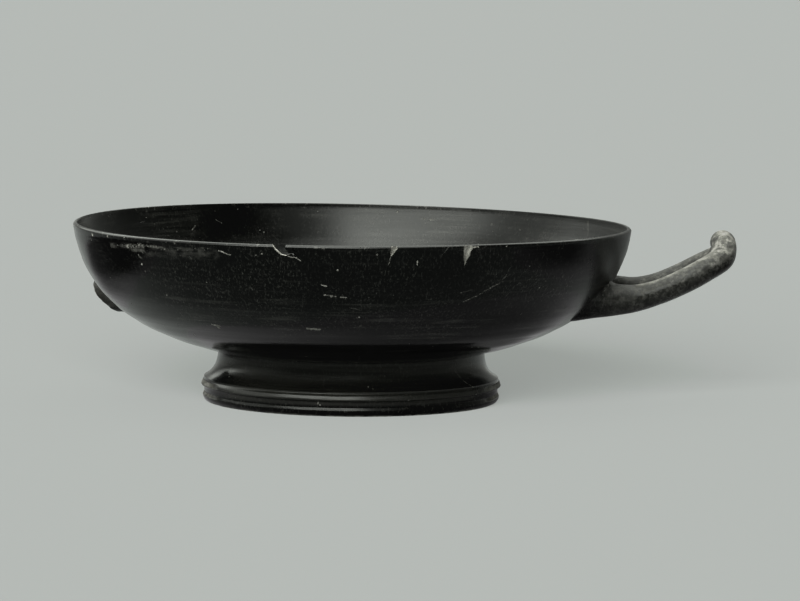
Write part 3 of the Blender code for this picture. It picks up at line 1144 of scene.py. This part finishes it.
    def rubs(self, at: GlossWires) -> list[Socket]:
        """Where hands and shelves have worn the gloss on the lip, sole and handle, where some clay shows on
        the stub's flank that faces the front, and a painted highlight on the foot's moulding edges at its
        left and right ends.

        Args:
            at: The gloss's nodes.

        Returns:
            How much clay shows in each place.
        """
        lip = at.spread(at.z, *(self.rim_height - below for below in self.lip))
        worn_lip = at.product(lip, at.clouds(at.here, 420.0, 0.60, 0.74), 0.22)
        resting = at.product(at.spread(at.z, *self.sole), at.clouds(at.here, 260.0, 0.36, 0.52), 0.8)
        crown = at.product(
            at.spread(at.x, *(self.rim_radius + out for out in self.crown)), at.spread(at.up, -0.1, 0.6)
        )
        rubbed = at.product(crown, at.scaled(at.clouds(at.here, 480.0, 0.36, 0.60, 4.0), 0.56, 0.12))
        dusty = at.product(
            at.handle, at.spread(at.up, -0.90, 0.75),
            at.scaled(at.clouds(at.here, 620.0, 0.40, 0.66, 4.0), 0.26, 0.10),
        )
        ridge = at.product(at.handle, at.spread(at.up, 0.72, 0.92), at.spread(at.y, -0.004, -0.009), 0.62)
        # Painted highlight: bare clay on the foot's moulding edges, only at its left and right ends, stands
        # in for the gloss catching the light there.
        sides = at.spread(at.math("ABSOLUTE", at.x), *self.foot_sides)
        edges = at.most(
            at.window(at.z, *self.bead_edge, self.crisp),
            at.times(at.window(at.z, *self.ring_edge, self.crisp), 0.7),
        )
        painted_foot_highlight = at.product(sides, edges, at.clouds(at.here, 380.0, 0.16, 0.36), 1.0)
        root = at.product(
            at.spread(at.x, *self.root_x), at.window(at.z, *self.root_z, 0.008, 0.010),
            at.scaled(at.clouds(at.here, 620.0, 0.40, 0.66, 4.0), 0.10, 0.09),
        )
        flank = at.product(
            at.spread(at.x, *self.stub_flank), at.spread(at.split(at.facing)[1], -0.60, -0.85), 0.26
        )
        return [flank, worn_lip, resting, rubbed, dusty, ridge, painted_foot_highlight, root]

    def worn(self, at: GlossWires) -> Socket:
        """How much clay shows at a point, from 0 to 1, through every mark, speck and rub."""
        known = self.scratches(at)
        fine = self.specks(at, at.here, *self.fine_specks)
        coarse = self.specks(at, at.here, *self.coarse_specks)
        flank, *rubs = self.rubs(at)
        return at.most(flank, known, at.times(fine, 0.55), at.times(coarse, 0.85), *rubs)

    def sheen(self, at: GlossWires, shown: Socket) -> Socket:
        """How rough the gloss is.

        Args:
            at: The gloss's nodes.
            shown: How much clay shows there.

        Returns:
            The roughness, which is the clay's own where enough of it shows.
        """
        gloss = at.between(at.spread(at.cloud, 0.3, 0.7), self.least_rough, self.most_rough)
        gloss = at.scaled(at.inner, 0.09, gloss)
        top = at.product(at.handle, at.spread(at.up, 0.0, 0.5), 0.26)
        stem = at.product(at.window(at.z, *self.stem, 0.001, 0.002), at.spread(at.y, -0.022, -0.034), 0.22)
        by_handle = at.product(at.spread(at.x, *self.near_handle), at.math("SUBTRACT", 1.0, at.handle), 0.24)
        gloss = at.math("ADD", gloss, at.math("ADD", top, at.times(at.flecks, 0.05)))
        gloss = at.math("ADD", gloss, at.math("ADD", stem, by_handle))
        return at.between(at.spread(shown, 0.0, 0.5), gloss, self.clay.roughness)

    def dress(self) -> None:
        """Makes the gloss's material."""
        at = GlossWires.of(Slot.GLOSS.material, self)
        tone = self.tone(at)
        shown = self.worn(at)
        at.put("Base Color", at.blend(shown, tone, self.clay.tone(at, at.here)))
        at.put("Roughness", self.sheen(at, shown))
        at.put("Specular IOR Level", self.gleam)
        pits = at.math("SUBTRACT", 1.0, at.spread(shown, 0.02, 0.4))
        peel = at.noise(at.here, 900.0, 3.0, 0.5)
        at.relief(
            (at.wheel, self.wheel_relief), (peel, self.peel_relief),
            (at.flecks, self.fleck_relief), (pits, self.pit_relief),
        )


@dataclass
class Cup:
    """The whole cup: its parts joined, broken, warped and dressed."""

    axis: Vector
    vessel: Vessel = field(default_factory=Vessel)
    handle: LoopHandle = field(default_factory=LoopHandle)
    lost: LostHandle = field(default_factory=LostHandle)
    warp: KilnWarp = field(default_factory=KilnWarp)
    sharp: float = math.radians(32)

    def build(self) -> Thing:
        """The finished piece.

        Returns:
            The cup as one object, in the frame's own place.
        """
        cup = self.vessel.build()
        limbs = joined("limbs", [self.handle.build(self.vessel), self.lost.build(self.handle, self.vessel)])
        LOG.info("limbs have %d faces", len(limbs.data.polygons))
        cup = combined(cup, limbs, "UNION")
        LOG.info("the cup with its limbs has %d faces", len(cup.data.polygons))
        for chip in rim_damage():
            cup = combined(cup, chip.cutter(self.vessel), "DIFFERENCE")
        LOG.info("the broken cup has %d faces", len(cup.data.polygons))
        self.settle(cup.data)
        self.dress()
        return cup

    def settle(self, mesh: bpy.types.Mesh) -> None:
        """Warps the mesh and moves it from the cup's own axis to its place in the frame."""
        spots = np.empty(len(mesh.vertices) * 3)
        mesh.vertices.foreach_get("co", spots)
        spots = self.warp.warped(spots.reshape(-1, 3)) + np.array(self.axis)
        mesh.vertices.foreach_set("co", spots.ravel())
        mesh.shade_smooth()
        mesh.set_sharp_from_angle(angle=self.sharp)

    def dress(self) -> None:
        """Makes both finishes."""
        BlackGloss(self.axis, self.vessel.rim_radius, self.vessel.rim_height).dress()
        BareClay().dress()


@dataclass(frozen=True)
class Glow:
    """A soft-edged bright patch of the room, by its place round the cup in degrees.

    Azimuth 0 is over the camera, and 90 is to the right. Elevation is above the horizon.
    """

    level: float
    left: float
    right: float
    side_blur: float
    low: float
    low_blur: float
    high: float = 200.0
    high_blur: float = 10.0


@dataclass(frozen=True)
class Card:
    """A dark card that lies on the floor, out of the picture, and glows dimly for the gloss alone: a painted
    darkening of the pale floor that the gloss mirrors.

    Its place is from the foot of the cup's axis, in metres. blur is the share of its reach over which its
    level softens into round_it, the floor's own.
    """

    name: str
    middle: Pair
    reach: Pair
    level: float
    blur: float = 0.6
    round_it: float = 0.575
    lift: float = 0.0001
    segments: int = 64

    def build(self, axis: Vector) -> Thing:
        """The card, which only gloss can see.

        Args:
            axis: The foot of the cup's axis.

        Returns:
            The card, flat on the floor.
        """
        material = bpy.data.materials.new(self.name)
        wires = Wires.of(material)
        wires.put("Base Color", BLACK)
        wires.put("Specular IOR Level", 0.0)
        wires.put("Emission Color", WHITE)
        share = wires.spread(wires.vector("LENGTH", wires.place()), 1.0 - self.blur, 1.0)
        wires.put("Emission Strength", wires.between(share, self.level, self.round_it))
        card = sheet(self.name, 1.0, self.segments, material)
        card.location = (axis.x + self.middle[0], axis.y + self.middle[1], self.lift)
        card.scale = (*self.reach, 1.0)
        card.visible_camera = False
        card.visible_diffuse = False
        card.visible_shadow = False
        return card


@dataclass(frozen=True)
class FloorLight:
    """A broad soft light on the floor alone, which gives the cup its shadow.

    The cup takes its own light from the room, so that its matt clay and its gloss agree.
    """

    azimuth: float = -12.0
    elevation: float = 11.0
    softness: float = 46.0
    strength: float = 165.0

    def build(self, floor: Thing) -> Thing:
        """The lamp.

        Args:
            floor: The floor, the one thing that it lights.

        Returns:
            The lamp.
        """
        data = bpy.data.lights.new("floor_light", "SUN")
        data.energy = self.strength
        data.angle = math.radians(self.softness)
        lamp = place(data, "floor_light")
        side, lift = math.radians(self.azimuth), math.radians(self.elevation)
        away = Vector((math.sin(side) * math.cos(lift), -math.cos(side) * math.cos(lift), math.sin(lift)))
        lamp.rotation_euler = away.to_track_quat("Z", "Y").to_euler()
        lit = bpy.data.collections.new("lit_by_floor_light")
        lit.objects.link(floor)
        lamp.light_linking.receiver_collection = lit
        return lamp


@dataclass
class Studio:
    """The pale floor that the cup stands on, and the soft light of the room round it."""

    reach: float = 14.0
    segments: int = 96
    matt: float = 0.95
    pale: Colour = (0.0144, 0.0151, 0.0145, 1.0)
    tint: Colour = (0.997, 1.028, 0.968, 1.0)
    glow_through: float = 25.3
    floor_light: FloorLight = FloorLight()
    cards: tuple[Card, ...] = (
        # Painted reflections: these cards darken the floor that the gloss mirrors at its left and right.
        Card("left_card", (-0.290, 0.062), (0.190, 0.155), 0.14, 0.28),
        Card("right_card", (0.310, -0.035), (0.180, 0.120), 0.22),
        # A painted shadow: the cup's shadow on the floor beneath it, as the gloss mirrors it.
        Card("painted_shadow_card", (0.030, -0.012), (0.096, 0.076), 0.23),
    )
    horizon: float = 0.362
    glows: tuple[Glow, ...] = (
        Glow(0.20, -500, 500, 10, -500, 10, 6, 8),
        Glow(5.2, -500, 500, 10, 66, 12),
        Glow(6.0, -67, 8, 30, 26, 7, 66, 12),
        Glow(1.0, -2, 40, 26, 26, 7, 66, 12),
        Glow(1.5, -35, 8, 20, 40, 16, 75, 20),
        Glow(1.5, -132, -67, 24, 15, 10, 66, 12),
        Glow(1.3, -165, -116, 14, 13, 8, 66, 12),
        Glow(2.2, -500, -132, 15, 28, 12, 66, 12),
        Glow(2.2, 118, 500, 15, 28, 12, 66, 12),
    )

    def floor(self) -> Thing:
        """A wide round floor of matt pale paper."""
        material = bpy.data.materials.new("pale_paper")
        wires = Wires.of(material)
        wires.put("Base Color", self.pale)
        wires.put("Roughness", self.matt)
        wires.put("Specular IOR Level", 0.0)
        wires.put("Emission Color", self.pale)
        wires.put("Emission Strength", self.glow_through)
        return sheet("floor", self.reach, self.segments, material)

    def room(self) -> bpy.types.World:
        """The light of the room, brightest overhead and through a wide window in front on the left."""
        world = bpy.data.worlds.new("room")
        wires = Wires.of(world)
        x, y, z = wires.split(wires.node("TexCoord").outputs["Generated"])
        degree = math.degrees(1)
        elevation = wires.times(wires.math("ARCSINE", z), degree)
        azimuth = wires.times(wires.math("ARCTAN2", x, wires.times(y, -1.0)), degree)
        total: object = self.horizon
        for glow in self.glows:
            share = wires.times(
                wires.window(azimuth, glow.left, glow.right, glow.side_blur),
                wires.window(elevation, glow.low, glow.high, glow.low_blur, glow.high_blur),
            )
            total = wires.scaled(share, glow.level, total)
        background = world.node_tree.nodes["Background"]
        background.inputs["Color"].default_value = self.tint
        wires.feed(background.inputs["Strength"], total)
        return world

    def build(self, axis: Vector) -> None:
        """The floor, the cards and the room's light."""
        floor = self.floor()
        self.floor_light.build(floor)
        for card in self.cards:
            card.build(axis)
        bpy.context.scene.world = self.room()


@dataclass(frozen=True)
class Viewpoint:
    """The camera: a long lens, level with the rim and a little above it."""

    distance: float = 1.500
    height: float = 0.1748
    yaw: float = 0.0109
    pitch: float = 0.0939
    roll: float = 0.0094
    lens: float = 199.86
    sensor: float = 36.0

    def build(self, axis: Vector) -> Thing:
        """The scene's camera.

        Args:
            axis: The foot of the cup's axis.

        Returns:
            The camera.
        """
        data = bpy.data.cameras.new("camera")
        data.lens = self.lens
        data.sensor_width = self.sensor
        camera = place(data, "camera")
        flat = math.cos(self.pitch)
        ahead = Vector((math.sin(self.yaw) * flat, math.cos(self.yaw) * flat, -math.sin(self.pitch)))
        level = ahead.cross(Vector((0, 0, 1))).normalized()
        up = level.cross(ahead)
        right = level * math.cos(self.roll) + up * math.sin(self.roll)
        over = up * math.cos(self.roll) - level * math.sin(self.roll)
        turned = Matrix((right, over, -ahead)).transposed().to_4x4()
        camera.matrix_world = Matrix.Translation(axis + Vector((0, -self.distance, self.height))) @ turned
        bpy.context.scene.camera = camera
        return camera


@dataclass(frozen=True)
class Print:
    """The tones of a contrasty black-and-white print: deep blacks, and a paper white that nothing passes."""

    contrast: float = 1.29
    tones: tuple[Pair, ...] = (
        (0.0, 0.003), (0.0165, 0.0088), (0.03, 0.0235), (0.06, 0.057), (0.10, 0.10),
        (0.50, 0.50), (0.60, 0.580), (0.75, 0.625), (1.0, 0.65),
    )

    def apply(self, scene: bpy.types.Scene) -> None:
        """Sets the scene's colour management."""
        view = scene.view_settings
        view.view_transform = "Standard"
        view.look = "None"
        view.gamma = 1 / self.contrast
        view.use_curve_mapping = True
        curve = view.curve_mapping.curves[COMBINED_CURVE]
        while len(curve.points) < len(self.tones):
            curve.points.new(0.5, 0.5)
        for point, (light, tone) in zip(curve.points, self.tones):
            point.location = (light, tone)
            point.handle_type = "VECTOR"
        view.curve_mapping.update()


def main() -> None:
    """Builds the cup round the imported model, and the studio round the cup."""
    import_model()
    low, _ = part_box("cup")
    vessel = Vessel()
    axis = Vector((low.x + vessel.rim_radius, 0, -vessel.sole))
    cup = Cup(axis, vessel).build()
    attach(cup, "root")
    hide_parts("cup")
    cup.name = "drinking_cup"
    LOG.info("%s: %d faces", cup.name, len(cup.data.polygons))
    Studio().build(axis)
    Viewpoint().build(axis)
    Print().apply(bpy.context.scene)


if __name__ == "__main__":
    logging.basicConfig(level=logging.INFO, format="%(name)s: %(message)s")
    main()
